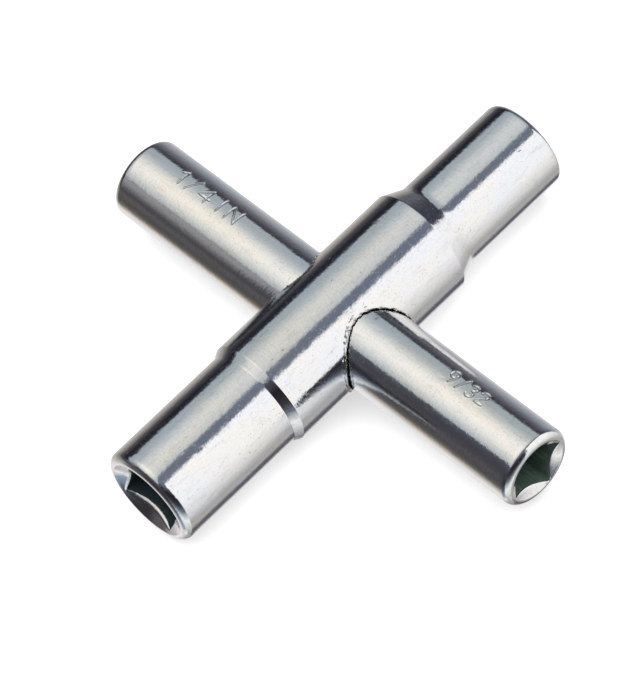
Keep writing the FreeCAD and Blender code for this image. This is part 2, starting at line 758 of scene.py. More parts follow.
@dataclass
class CrossTube:
    """The plain tube along Y, with a square socket in each mouth and a struck size by each."""

    node: str = "cross_tube"
    rim_round: float = 1.2
    wide_square: float = 7.14
    small_square: float = 6.35
    square_turn: float = -27.0
    socket_depth: float = 16.0
    bore_radius: float = 2.575
    edges_round: int = 200
    struck_arc: tuple[float, float, int] = (64.0, 91.5, 36)
    run_step: float = 0.6
    fine_step: float = 0.09
    fine_margin: float = 0.4
    stamps: tuple[StampedSize, ...] = (
        StampedSize("1/4 IN", start_y=32.1, base_arc=-0.1, slant=0.02),
        StampedSize("9/32", start_y=-22.2, base_arc=0.25, height=2.3, gap=0.55, width=0.95,
                    slant=0.03),
    )
    wear: Wear = Wear(seed=7, knocks=46)

    def stations(self, half: float) -> list[float]:
        """Places of the rings along the barrel, closer together under the struck sizes.

        Args:
            half: Half of the tube's length.

        Returns:
            Places from -Y to +Y.
        """
        spots = []
        y = -half + self.rim_round
        while y < half - self.rim_round - 1e-6:
            spots.append(y)
            near = any(s.start_y - s.length - self.fine_margin < y < s.start_y + self.fine_margin
                       for s in self.stamps)
            y += self.fine_step if near else self.run_step
        spots.append(half - self.rim_round)
        return spots

    def build(self, plated: Material, inside: Material) -> bpy.types.Object:
        """Make the tube.

        Args:
            plated: Finish of the outside.
            inside: Finish inside the sockets.

        Returns:
            The tube as one closed mesh.
        """
        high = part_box(self.node)[1]
        half, radius = high[1] / MM, high[0] / MM
        angles = tube_angles(self.edges_round, self.square_turn, self.struck_arc)
        skin = Skin()
        along, angle = np.meshgrid(np.array(self.stations(half)), angles, indexing="ij")
        radii = np.full(along.shape, radius)
        height = self.wear.height(along, angle, radii, half)
        arc = (math.pi / 2 - angle) * radius
        for stamp in self.stamps:
            height += stamp.sink(along, arc)
        outer = [skin.add_row(tube_row(angles, a, r, "Y")) for a, r in zip(along, radii + height)]
        for first, second in zip(outer, outer[1:]):
            skin.bridge(first, second)
        ends = []
        for sign, square, last in ((-1, self.wide_square, outer[0]),
                                   (1, self.small_square, outer[-1])):
            mouth = SquareMouth(radius - self.wear.wave_height, self.rim_round, square,
                                self.square_turn, self.socket_depth, self.bore_radius)
            ends.append(add_mouth(skin, mouth, angles, last, sign, sign * half, "Y"))
        skin.bridge(*ends, dark=True)
        return skin.build("cross_tube_skin", [plated, inside])


# --------------------------------------------------------------------------- body tube


@dataclass(frozen=True)
class CrossHole:
    """The hole in the body: a little large, off centre, with a torn and raised edge."""

    radius: float = 6.58
    offset_x: float = -0.05
    offset_z: float = 0.02
    edge_round: float = 0.12
    tear: float = 0.1
    lip: float = 0.055
    ridge_reach: float = 0.42
    ridge_sway: float = 0.14
    ridge_width: float = 0.16
    edge_width: float = 0.14
    edge_share: float = 0.9
    lean_turn: float = 330.0
    tears_round: float = 9.0
    chips_round: float = 17.0
    seed: float = 3.7

    def reach(self, turns: np.ndarray, side: int) -> np.ndarray:
        """Radius of the torn edge.

        Args:
            turns: Angles about the hole's axis, from +X to +Z.
            side: +1 for the edge at +Y, -1 for the one at -Y.

        Returns:
            The radius at each angle.
        """
        return self.radius + self.tear * self.rough(turns, self.tears_round, self.seed + side)

    @staticmethod
    def rough(turns: np.ndarray, blobs: float, level: float) -> np.ndarray:
        """Random waves round the hole that meet themselves after a turn.

        Args:
            turns: Angles about the hole's axis.
            blobs: How many waves there are to a radian.
            level: Which set of waves it is.

        Returns:
            The wave at each angle, about -1 to 1.
        """
        spots = [Vector((blobs * math.cos(t), blobs * math.sin(t), level)) for t in turns]
        return np.array([noise.noise(spot) for spot in spots])

    def ring(self, reach: np.ndarray, turns: np.ndarray) -> tuple[np.ndarray, np.ndarray]:
        """X and Z of points at a distance from the hole's axis."""
        return (self.offset_x + reach * np.cos(turns), self.offset_z + reach * np.sin(turns))

    def lip_share(self, turns: np.ndarray, side: int) -> np.ndarray:
        """How much of the full lip is raised at each place round a hole.

        Args:
            turns: Angles about the hole's axis.
            side: +1 for the hole at +Y, -1 for the one at -Y.

        Returns:
            Shares from 0 to 1.4.
        """
        rough = 0.55 + 1.5 * self.rough(turns, self.chips_round, 9.1 * side)
        # The drill leaned towards -X, so it tore that side the most.
        facing = 0.5 - 0.5 * np.cos(turns - math.radians(self.lean_turn))
        return np.clip(rough, 0, 1.4) * np.clip(1.5 * facing, 0, 1)

    def raised(self, share: np.ndarray, turns: np.ndarray, gap: np.ndarray) -> np.ndarray:
        """Height of the lip: a swaying ridge beside the edge, and the edge itself.

        Args:
            share: How much of the lip is raised at each angle.
            turns: Angles about the hole's axis.
            gap: Distance from the edge.

        Returns:
            The height.
        """
        sway = np.sin(31 * turns) * np.sin(17 * turns + 1)
        from_ridge = (gap - self.ridge_reach - self.ridge_sway * sway) / self.ridge_width
        edge = self.edge_share * np.exp(-(gap / self.edge_width) ** 2)
        return share * self.lip * (np.exp(-from_ridge ** 2) + edge)


@dataclass
class BodyTube:
    """The larger tube along X: stepped outside, square mouths, and the hole for the other tube."""

    node: str = "body_tube"
    large_step: float = 0.68
    large_length: float = 21.7
    large_shoulder: float = 1.3
    large_foot_round: float = 0.45
    large_top_round: float = 0.3
    large_rim_round: float = 1.3
    large_square: float = 8.73
    large_edge_break: float = 0.5
    small_step: float = 1.53
    small_length: float = 19.1
    small_shoulder: float = 3.4
    small_top_round: float = 0.4
    small_foot_round: float = 3.0
    small_rim_round: float = 1.1
    medium_square: float = 7.94
    square_turn: float = 15.0
    socket_depth: float = 17.5
    bore_radius: float = 3.37
    core_wall: float = 0.6
    edges_round: int = 236
    run_step: float = 0.36
    arc_step: float = 5.0
    window_x: float = 8.7
    window_angle: float = 60.0
    window_rings: int = 22
    window_crowding: float = 1.6
    rolled_rings: int = 5
    tunnel_rings: tuple[float, ...] = (0.02, 0.25, 0.5, 0.75, 0.98)
    hole: CrossHole = CrossHole()
    wear: Wear = Wear(seed=11, knocks=60)

    def outline(self, low: float, high: float, radius: float) -> list[tuple[float, float]]:
        """Outside of the tube from one rim's rounding to the other's.

        Args:
            low: Place of the rim at -X.
            high: Place of the rim at +X.
            radius: Radius of the full round in the middle.

        Returns:
            Points (x, radius) from -X to +X.
        """
        large, small = radius - self.large_step, radius - self.small_step
        large_foot, small_foot = low + self.large_length, high - self.small_length
        corners = [
            (low + self.large_rim_round, large, 0.0),
            (large_foot, large, self.large_foot_round),
            (large_foot + self.large_shoulder, radius, self.large_top_round),
            (small_foot - self.small_shoulder, radius, self.small_top_round),
            (small_foot, small, self.small_foot_round),
            (high - self.small_rim_round, small, 0.0),
        ]
        return eased_corners(corners, self.run_step, self.arc_step)

    def build(self, plated: Material, inside: Material) -> bpy.types.Object:
        """Make the tube.

        Args:
            plated: Finish of the outside.
            inside: Finish inside the sockets.

        Returns:
            The tube as one closed mesh.
        """
        low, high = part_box(self.node)
        radius, start, end = high[2] / MM, low[0] / MM, high[0] / MM
        angles = tube_angles(self.edges_round, self.square_turn)
        outline = np.array(self.outline(start, end, radius))
        along, angle = np.meshgrid(outline[:, 0], angles, indexing="ij")
        true = np.repeat(outline[:, 1:2], len(angles), axis=1)
        height = self.wear.height(along, angle, true, (end - start) / 2)
        skin = Skin()
        outer = [skin.add_row(tube_row(angles, a, r, "X")) for a, r in zip(along, true + height)]
        columns = np.nonzero(np.abs(outline[:, 0]) < self.window_x)[0]
        windows = {side: self.window_rows(angles, side) for side in (1, -1)}
        self.add_barrel(skin, outer, columns, windows)
        edges = {side: self.add_patch(skin, outer, outline, angles, columns, windows[side],
                                      side, radius) for side in (1, -1)}
        self.add_tunnel(skin, edges)
        self.add_ends(skin, outer, angles, start, end, radius)
        return skin.build("body_tube_skin", [plated, inside])

    def window_rows(self, angles: np.ndarray, side: int) -> list[int]:
        """Lengthwise edges that cross the window round a hole, in rising order.

        Args:
            angles: Angles of the barrel's edges.
            side: +1 for the window at +Y, -1 for the one at -Y.

        Returns:
            Numbers of the edges.
        """
        away = around(angles, 0.0 if side > 0 else math.pi)
        near = np.nonzero(np.abs(away) < math.radians(self.window_angle))[0]
        return sorted(near.tolist(), key=lambda i: away[i])

    def add_barrel(self, skin: Skin, outer: list[list[int]], columns: np.ndarray,
                   windows: dict[int, list[int]]) -> None:
        """Join the rings of the outside, leaving out the windows round the two holes.

        Args:
            skin: The skin that gets the faces.
            outer: Rings of point numbers.
            columns: Rings inside the windows.
            windows: Lengthwise edges inside each window.
        """
        gaps = {i for rows in windows.values() for i in rows[:-1]}
        count = len(outer[0])
        for ring, (here, there) in enumerate(zip(outer, outer[1:])):
            for i in range(count):
                if not (columns[0] <= ring < columns[-1] and i in gaps):
                    j = (i + 1) % count
                    skin.add_face(here[i], here[j], there[j], there[i])

    def add_patch(self, skin: Skin, outer: list[list[int]], outline: np.ndarray,
                  angles: np.ndarray, columns: np.ndarray, rows: list[int], side: int,
                  radius: float) -> list[int]:
        """Fill a window from its edge in to the hole, with the hole's edge rolled over.

        Args:
            skin: The skin that gets the faces.
            outer: Rings of point numbers.
            outline: Points (x, radius) of the outside.
            angles: Angles of the barrel's edges.
            columns: Rings inside the window.
            rows: Lengthwise edges inside the window.
            side: +1 for the window at +Y, -1 for the one at -Y.
            radius: Radius of the full round.

        Returns:
            The row in which the patch ends, on the hole's wall.
        """
        hole = self.hole
        first, last = columns[0], columns[-1]
        middle = min(range(len(rows)), key=lambda k: abs(math.sin(angles[rows[k]])))
        loop = [(last, rows[k]) for k in range(middle, len(rows))]
        loop += [(c, rows[-1]) for c in range(last - 1, first - 1, -1)]
        loop += [(first, rows[k]) for k in range(len(rows) - 2, -1, -1)]
        loop += [(c, rows[0]) for c in range(first + 1, last + 1)]
        loop += [(last, rows[k]) for k in range(1, middle)]
        count = len(loop)
        facing = 0.0 if side > 0 else math.pi
        start_x = np.array([outline[c][0] for c, _ in loop])
        start_s = radius * around(np.array([angles[r] for _, r in loop]), facing)
        turns = side * TURN * np.arange(count) / count
        edge = hole.reach(turns, side)
        end_x, end_z = hole.ring(edge + hole.edge_round, turns)
        end_s = radius * np.arcsin(side * end_z / radius)
        share_raised = hole.lip_share(turns, side)
        ring = [outer[c][r] for c, r in loop]
        for step in range(1, self.window_rings + 1):
            share = 1 - (1 - step / self.window_rings) ** self.window_crowding
            x = start_x + (end_x - start_x) * share
            s = start_s + (end_s - start_s) * share
            lip = hole.raised(share_raised, turns, np.hypot(x - end_x, s - end_s))
            wear = self.wear.height(x[None, :], (s / radius + facing)[None, :],
                                    np.full((1, count), radius), outline[-1][0])[0]
            out = radius + wear + lip
            row = skin.add_row(zip(x, side * out * np.cos(s / radius),
                                   side * out * np.sin(s / radius)))
            skin.bridge(ring, row)
            ring = row
        for step in range(1, self.rolled_rings + 1):
            lean_in = math.radians(90 * step / self.rolled_rings)
            x, z = hole.ring(edge + hole.edge_round * (1 - math.sin(lean_in)), turns)
            y = np.sqrt(out ** 2 - z ** 2) - hole.edge_round * (1 - math.cos(lean_in))
            row = skin.add_row(zip(x, side * y, z))
            skin.bridge(ring, row)
            ring = row
        return ring

    def add_tunnel(self, skin: Skin, edges: dict[int, list[int]]) -> None:
        """Join the walls of the two holes through the middle of the tube.

        Args:
            skin: The skin that gets the faces.
            edges: The last row of each patch.
        """
        count = len(edges[1])
        facing = [edges[-1][-k % count] for k in range(count)]
        near, far = (np.array([skin.points[i] for i in row]) for row in (edges[1], facing))
        ring = edges[1]
        for share in self.tunnel_rings:
            row = skin.add_row(near + (far - near) * share)
            skin.bridge(ring, row, dark=True)
            ring = row
        skin.bridge(ring, facing, dark=True)

    def add_ends(self, skin: Skin, outer: list[list[int]], angles: np.ndarray, start: float,
                 end: float, radius: float) -> None:
        """Add both mouths, with the bore stopped just short of the other tube.

        Args:
            skin: The skin that gets the faces.
            outer: Rings of point numbers.
            angles: Angles of the barrel's edges.
            start: Place of the rim at -X.
            end: Place of the rim at +X.
            radius: Radius of the full round.
        """
        sunk = radius - self.wear.wave_height
        shared = (self.square_turn, self.socket_depth, self.bore_radius)
        large = SquareMouth(sunk - self.large_step, self.large_rim_round, self.large_square,
                            *shared, edge_break=self.large_edge_break)
        medium = SquareMouth(sunk - self.small_step, self.small_rim_round, self.medium_square,
                             *shared)
        bore = np.full(len(angles), self.bore_radius)
        for mouth, last, sign, rim in ((large, outer[0], -1, start), (medium, outer[-1], 1, end)):
            row = add_mouth(skin, mouth, angles, last, sign, rim, "X")
            stop = sign * (self.hole.radius + self.core_wall)
            foot = skin.add_row(tube_row(angles, np.full(len(angles), stop), bore, "X"))
            skin.bridge(row, foot, dark=True)
            skin.close(foot, (stop, 0.0, 0.0))


# --------------------------------------------------------------------------- burrs


@dataclass
class HoleBurrs:
    """Slivers of torn metal that the drill left along the edge of each hole, by Geometry Nodes."""

    body: BodyTube
    spacing: float = 0.34
    size: float = 0.13
    seed: int = 5
    edge_reach: float = 0.04
    crumb_reach: float = 0.48
    crumb_turns: tuple[float, float] = (95.0, 235.0)
    sunk: float = 0.03
    share_kept: float = 0.62
    raggedness: float = 2.6
    ragged_per_mm: float = 7.0
    edge_spots: int = 181
    crumb_spots: int = 70
    least: Point = (0.35, 0.35, 0.7)
    largest: Point = (0.8, 0.9, 2.4)
    lean: Point = (0.5, 0.5, 0.6)

    def edge_points(self, side: int, radius: float, beyond: float, turns: np.ndarray
                    ) -> list[Point]:
        """Points along a hole's edge, in metres.

        Args:
            side: +1 for the hole at +Y, -1 for the one at -Y.
            radius: Radius of the body's full round, in millimetres.
            beyond: Distance out from the edge, in millimetres.
            turns: Angles about the hole's axis, in radians.

        Returns:
            Points in the order of the angles.
        """
        x, z = self.body.hole.ring(self.body.hole.reach(turns, side) + beyond, turns)
        y = side * (np.sqrt(radius ** 2 - z ** 2) - self.sunk)
        return [tuple(c * MM for c in p) for p in zip(x, y, z)]

    def tree(self) -> bpy.types.GeometryNodeTree:
        """Build the node tree: slivers set along a curve, each turned and sized by chance.

        Returns:
            The node tree, with named inputs.
        """
        n = Nodes(bpy.data.node_groups.new("edge_burrs", "GeometryNodeTree"))
        face = n.tree.interface
        face.new_socket("Edge", in_out="INPUT", socket_type="NodeSocketGeometry")
        for name, kind in (("Spacing", "Float"), ("Size", "Float"), ("Seed", "Int"),
                           ("Finish", "Material")):
            face.new_socket(name, in_out="INPUT", socket_type=f"NodeSocket{kind}")
        face.new_socket("Burrs", in_out="OUTPUT", socket_type="NodeSocketGeometry")
        given = n.add("NodeGroupInput").outputs
        curve = n.add("GeometryNodeMeshToCurve", None, {"Mesh": given["Edge"]})
        spots = n.add("GeometryNodeCurveToPoints", {"mode": "LENGTH"},
                      {"Curve": curve.outputs[0], "Length": given["Spacing"]}).outputs
        sliver = n.add("GeometryNodeMeshIcoSphere", None,
                       {"Radius": given["Size"], "Subdivisions": 2})
        place = n.add("GeometryNodeInputPosition").outputs[0]
        ragged = n.add("ShaderNodeTexNoise", None,
                       {"Vector": place, "Scale": self.ragged_per_mm / MM})
        push = n.vector("SUBTRACT", {0: ragged.outputs["Color"], 1: (0.5, 0.5, 0.5)})
        push = n.vector("SCALE", {0: push[0], "Scale": n.times(given["Size"], self.raggedness)})
        sliver = n.add("GeometryNodeSetPosition", None, {0: sliver.outputs[0], "Offset": push[0]})
        kept = n.add("FunctionNodeRandomValue", {"data_type": "BOOLEAN"},
                     {"Probability": self.share_kept, "Seed": given["Seed"]})
        ranges = ((self.least, self.largest), (tuple(-a for a in self.lean), self.lean))
        sizes, turns = (n.add("FunctionNodeRandomValue", {"data_type": "FLOAT_VECTOR"},
                              {0: low, 1: high, "Seed": given["Seed"]}).outputs[0]
                        for low, high in ranges)
        placed = n.add("GeometryNodeInstanceOnPoints", None, {
            "Points": spots["Points"], "Selection": kept.outputs[3],
            "Instance": sliver.outputs[0], "Rotation": spots["Rotation"], "Scale": sizes})
        turned = n.add("GeometryNodeRotateInstances", None,
                       {"Instances": placed.outputs[0], "Rotation": turns})
        real = n.add("GeometryNodeRealizeInstances", None, {0: turned.outputs[0]})
        facets = n.add("GeometryNodeSetShadeSmooth", None,
                       {0: real.outputs[0], "Shade Smooth": False})
        dressed = n.add("GeometryNodeSetMaterial", None,
                        {0: facets.outputs[0], "Material": given["Finish"]})
        n.add("NodeGroupOutput", None, {0: dressed.outputs[0]})
        return n.tree

    def build(self, finish: Material) -> bpy.types.Object:
        """Make the burrs of both holes as one plain mesh.

        Args:
            finish: Finish of the torn metal.

        Returns:
            The finished object.
        """
        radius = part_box(self.body.node)[1][2] / MM
        mesh = bpy.data.meshes.new("hole_edges")
        points: list[Point] = []
        edges: list[tuple[int, int]] = []
        whole = np.linspace(0, TURN, self.edge_spots)
        torn = np.radians(np.linspace(*self.crumb_turns, self.crumb_spots))
        for side, beyond, turns in ((1, self.edge_reach, whole), (-1, self.edge_reach, whole),
                                    (-1, self.crumb_reach, torn)):
            start = len(points)
            points += self.edge_points(side, radius, beyond, turns)
            edges += [(i, i + 1) for i in range(start, len(points) - 1)]
        mesh.from_pydata(points, edges, [])
        source = add_object("hole_edges", mesh)
        modifier = source.modifiers.new("burrs", "NODES")
        modifier.node_group = self.tree()
        sockets = {s.name: s.identifier for s in modifier.node_group.interface.items_tree
                   if s.in_out == "INPUT"}
        for name, value in (("Spacing", self.spacing * MM), ("Size", self.size * MM),
                            ("Seed", self.seed), ("Finish", finish)):
            modifier[sockets[name]] = value
        graph = bpy.context.evaluated_depsgraph_get()
        plain = bpy.data.meshes.new_from_object(source.evaluated_get(graph))
        plain.name = "hole_burrs"
        bpy.data.objects.remove(source)
        return add_object("hole_burrs", plain)


# --------------------------------------------------------------------------- finishes


class Lengthwise(Enum):
    """The axis a tube was drawn along, as the squeeze that stretches a pattern along it."""

    BODY = (0.3, 1.0, 1.0)
    CROSS = (1.0, 0.3, 1.0)

    def squeeze(self, along: float, across: float) -> Point:
        """Squeeze with other factors along the tube and across it."""
        return tuple(along if s < 1 else across for s in self.value)


@dataclass(frozen=True)
class PlatedSteel:
    """Bright zinc-plated steel: mirror-like, a little wavy, with blue and cream stains."""

    name: str
    lengthwise: Lengthwise
    stain_centre: Point
    stain_reach: tuple[float, float]
    cool: str = "e6e8ec"
    warm: str = "ebe9e6"
    stain: str = "c6c5c3"
    rust: str = "a08a5c"
    dirt: str = "57524c"
    torn: str = "5d5851"
    roughness: float = 0.05
    wave_height: float = 0.0085
    hole_radius: float | None = None

    def build(self) -> Material:
        """Make the material.

        Returns:
            The material.
        """
        material, n, shader = new_finish(self.name)
        place, drawn = n.millimetres(), n.millimetres(self.lengthwise.value)
        colour = self.colour(n, place, drawn)
        marks, depth = self.marks(n, place)
        colour = n.mix(n.times(marks, 0.62), colour, self.dirt)
        if self.hole_radius is not None:
            grime = self.grime(n, place)
            colour = n.mix(n.times(grime, 0.8), colour, self.torn)
            marks = n.most(marks, grime)
        # Zinc plate is a true metal, so all the light the eye gets from it is a reflection.
        n.feed(shader, {"Metallic": 1.0, "Base Color": colour,
                        "Roughness": self.gloss(n, place, drawn, marks),
                        "Normal": self.relief(n, place, drawn, depth)})
        return material

    def colour(self, n: Nodes, place: Socket, drawn: Socket) -> Socket:
        """Cool and warm patches of the passivated plate, and dull stains between them.

        Args:
            n: The material's nodes.
            place: Coordinates in millimetres.
            drawn: Coordinates stretched along the tube.

        Returns:
            The colour.
        """
        patches = n.ease(n.cloud(drawn, per_mm=0.22, detail=4.0, roughness=0.6, warp=0.4), 0.4, 0.62)
        colour = n.mix(patches, self.cool, self.warm)
        streaks = n.ease(n.cloud(drawn, per_mm=1.3, detail=4.0, roughness=0.65, warp=0.3), 0.5, 0.76)
        colour = n.mix(n.times(streaks, 0.42), colour, self.stain)
        grain = n.ease(n.cloud(place, per_mm=3.1, roughness=0.7), 0.4, 0.75)
        colour = n.mix(n.times(grain, 0.2), colour, self.stain)
        far = n.vector("DISTANCE", {0: place, 1: self.stain_centre})["Value"]
        near, end = self.stain_reach
        ragged = n.math("MULTIPLY_ADD", n.cloud(place, per_mm=2.4 / end), 0.7 * end, far)
        return n.mix(n.ease(ragged, near, end, 0.6, 0.0), colour, self.rust)

    def grime(self, n: Nodes, place: Socket) -> Socket:
        """Broken ring of bare, grimy metal where the drill tore the plate beside the hole.

        Args:
            n: The material's nodes.
            place: Coordinates in millimetres.

        Returns:
            The grime's share.
        """
        x, _, z = n.add("ShaderNodeSeparateXYZ", None, {0: place}).outputs
        far = n.math("SQRT", n.plus(n.times(x, x), n.times(z, z)))
        far = n.math("MULTIPLY_ADD", n.cloud(place, per_mm=1.1, roughness=0.65), 0.5, far)
        beyond = n.math("SUBTRACT", far, self.hole_radius + 0.25)
        ring = n.times(n.ease(beyond, 0.2, 0.34), n.ease(beyond, 0.46, 0.66, 1.0, 0.0))
        edge = n.ease(beyond, 0.1, 0.24, 0.8, 0.0)
        broken = n.ease(n.cloud(place, per_mm=1.9, roughness=0.7), 0.44, 0.56)
        torn_side = n.ease(x, -3.2, -0.6, 1.0, 0.0)
        return n.most(n.times(n.times(ring, broken), torn_side), n.times(edge, broken))

    def marks(self, n: Nodes, place: Socket) -> tuple[Socket, Socket]:
        """Pits, small nicks and hair scratches.

        Args:
            n: The material's nodes.
            place: Coordinates in millimetres.

        Returns:
            The marks' darkness, and their depth as a share of a pit's depth.
        """
        cells = n.add("ShaderNodeTexVoronoi", None,
                      {"Vector": place, "Scale": 0.62, "Randomness": 1.0}).outputs
        chance = n.add("ShaderNodeSeparateColor", None, {0: cells["Color"]}).outputs[0]
        size = n.times(n.ease(chance, 0.84, 1.0), 0.09)
        ragged = n.math("MULTIPLY_ADD", n.cloud(place, per_mm=5.0), 0.09, cells["Distance"])
        pits = n.ease(n.math("SUBTRACT", n.plus(size, 0.018), ragged), -0.012, 0.02)
        nicks = n.most(self.hairs(n, (0.6, 0.4, 1.1), (1.0, 0.2, 1.0), 2.4, above=0.8),
                       self.hairs(n, (0.3, 1.2, -0.5), (1.0, 1.0, 0.16), 2.2, above=0.8))
        hairs = self.hairs(n, (0.2, 0.9, 0.3), (0.06, 1.0, 1.0), 3.6, above=0.71)
        scratches = n.most(nicks, n.times(hairs, 0.3))
        scuffs = self.scuffs(n, place)
        depth = n.most(scratches, n.times(scuffs, 0.3))
        return n.most(pits, n.most(scratches, scuffs)), n.most(pits, depth)

    def scuffs(self, n: Nodes, place: Socket) -> Socket:
        """Wandering hair lines in a few scuffed patches.

        Args:
            n: The material's nodes.
            place: Coordinates in millimetres.

        Returns:
            The lines' darkness.
        """
        level = n.math("SUBTRACT", n.cloud(place, per_mm=0.75, roughness=0.62, warp=0.8), 0.5)
        line = n.ease(n.math("ABSOLUTE", level), 0.004, 0.013, 0.36, 0.0)
        return n.times(line, n.ease(n.cloud(place, per_mm=0.31, detail=2.0), 0.55, 0.7))

    def hairs(self, n: Nodes, turn: Point, squeeze: Point, per_mm: float, above: float
              ) -> Socket:
        """Short thin lines that all lean one way.

        Args:
            n: The material's nodes.
            turn: Turn of the lines about each axis, in radians.
            squeeze: How far the lines are drawn out on each axis.
            per_mm: Lines per millimetre.
            above: Share of the cloud that shows no line.

        Returns:
            The lines' darkness.
        """
        lines = n.cloud(n.millimetres(squeeze, turn), per_mm, detail=1.0, roughness=0.4)
        return n.ease(lines, above, above + 0.05)

    def gloss(self, n: Nodes, place: Socket, drawn: Socket, marks: Socket) -> Socket:
        """Roughness: smudges of handling over a bright plate.

        Args:
            n: The material's nodes.
            place: Coordinates in millimetres.
            drawn: Coordinates stretched along the tube.
            marks: Darkness of pits and scratches.

        Returns:
            The roughness.
        """
        smudge = n.ease(n.cloud(drawn, per_mm=0.35, detail=4.0, roughness=0.6, warp=0.6), 0.42, 0.72,
                        0, 0.05)
        grain = n.times(n.cloud(place, per_mm=4.0, detail=2.0), 0.035)
        fog = n.ease(n.cloud(place, per_mm=2.8, roughness=0.7), 0.52, 0.74, 0.0, 0.16)
        rough = n.plus(n.plus(smudge, grain), n.plus(fog, self.roughness))
        return n.math("MULTIPLY_ADD", marks, 0.25, rough)

    def relief(self, n: Nodes, place: Socket, drawn: Socket, depth: Socket) -> Socket:
        """Normal: waves of the drawn tube, rubbing round it, a fine orange peel, and the marks.

        Args:
            n: The material's nodes.
            place: Coordinates in millimetres.
            drawn: Coordinates stretched along the tube.
            depth: Depth of the marks.

        Returns:
            The normal.
        """
        long_waves = n.times(n.cloud(drawn, per_mm=0.8, detail=1.5, roughness=0.4), 0.9)
        across = n.millimetres(self.lengthwise.squeeze(1.0, 0.55))
        rubbed = n.times(n.cloud(across, per_mm=2.2, detail=2.5, roughness=0.6), 2.3)
        fine = n.times(n.cloud(place, per_mm=3.6, detail=2.0, roughness=0.6), 0.7)
        peel = n.times(n.cloud(place, per_mm=7.0, detail=1.0), 0.16)
        height = n.plus(n.plus(n.plus(fine, rubbed), long_waves), peel)
        return n.bump(n.math("SUBTRACT", height, n.times(depth, 1.8)), self.wave_height)


@dataclass(frozen=True)
class BroachedSteel:
    """Steel inside a socket: bare and oily, dark, with the broach's drag lines."""

    name: str
    lengthwise: Lengthwise
    dark: str = "3c4f48"
    light: str = "56675c"
    oil: str = "3f3a24"
    deep_wall_colour: str = "8fa398"
    bottom: float = 26.0
    rim: float = 37.0
    drag_depth: float = 0.008

    def build(self) -> Material:
        """Make the material.

        Returns:
            The material.
        """
        material, n, shader = new_finish(self.name)
        lines = n.cloud(n.millimetres(self.lengthwise.squeeze(0.04, 1.0)), per_mm=3.0, roughness=0.6)
        film = n.ease(n.cloud(n.millimetres(), per_mm=0.5, detail=4.0, roughness=0.6), 0.45, 0.7)
        colour = n.mix(n.ease(lines, 0.35, 0.75), self.dark, self.light)
        colour = n.mix(n.times(film, 0.6), colour, self.oil)
        # The walls are coloured a little lighter towards the bottom of the socket and darker near
        # the mouth.
        x, y, _ = n.add("ShaderNodeSeparateXYZ", None, {0: n.millimetres()}).outputs
        along = n.math("ABSOLUTE", x if self.lengthwise is Lengthwise.BODY else y)
        deep = n.ease(along, self.bottom, self.rim, 1.0, 0.0)
        colour = n.mix(n.times(deep, 0.35), colour, self.deep_wall_colour)
        # Black oily scale swallows most of the light and leaves a faint greenish sheen.
        n.feed(shader, {"Metallic": 0.25, "Base Color": colour,
                        "Roughness": n.ease(film, 0.0, 1.0, 0.42, 0.6),
                        "Normal": n.bump(lines, self.drag_depth)})
        return material


@dataclass(frozen=True)
class TornSteel:
    """Torn edge of the drilled hole: rough broken metal, part bright and part grimy."""

    name: str
    bright: str = "bfbdb8"
    grimy: str = "5e5543"
    relief: float = 0.02

    def build(self) -> Material:
        """Make the material.

        Returns:
            The material.
        """
        material, n, shader = new_finish(self.name)
        place = n.millimetres()
        grime = n.ease(n.cloud(place, per_mm=1.6, roughness=0.6), 0.38, 0.54)
        # Rough broken facets scatter light, so they read grey, with dark brown grime between.
        n.feed(shader, {"Metallic": 0.5, "Base Color": n.mix(grime, self.bright, self.grimy),
                        "Roughness": n.ease(grime, 0.0, 1.0, 0.2, 0.55),
                        "Normal": n.bump(n.cloud(place, per_mm=9.0, detail=2.0), self.relief)})
        return material


@dataclass(frozen=True)
class OpalAcrylic:
    """Opal white acrylic under the object, lit a little from below."""

    name: str
    glow: float = 0.5

    def build(self) -> Material:
        """Make the material.

        Returns:
            The material.
        """
        material, n, shader = new_finish(self.name)
        tone = n.ease(n.cloud(n.millimetres(), per_mm=0.05), 0.3, 0.7)
        # The glow from below fills most of the shadow, so the object seems to lie on white.
        n.feed(shader, {"Roughness": 1.0, "Specular IOR Level": 0.0,
                        "Base Color": n.mix(tone, "b4b4b4", "b7b7b6"),
                        "Emission Color": linear("ffffff"), "Emission Strength": self.glow})
        return material


# --------------------------------------------------------------------------- studio


@dataclass(frozen=True)
class RoomSide:
    """One side of the room: where it lies, and its colours by height above the horizon.

    Directions are in degrees, 0 towards +Y and 90 towards +X.
    """

    start: float
    end: float
    soft: float
    colours: tuple[tuple[float, str], ...]


@dataclass(frozen=True)
class Direction:
    """The direction that a reflection looks in, and its two angles in degrees."""

    x: Socket
    y: Socket
    z: Socket
    height: Socket
    heading: Socket

    @staticmethod
    def read(n: Nodes) -> Direction:
        """Read the direction that a world is seen in.

        Args:
            n: The world's nodes.

        Returns:
            The direction.
        """
        seen = n.add("ShaderNodeTexCoord").outputs["Generated"]
        way = n.vector("NORMALIZE", {0: seen})[0]
        x, y, z = n.add("ShaderNodeSeparateXYZ", None, {0: way}).outputs
        return Direction(x, y, z, n.times(n.math("ARCSINE", z), 180 / math.pi),
                         n.times(n.math("ARCTAN2", x, y), 180 / math.pi))


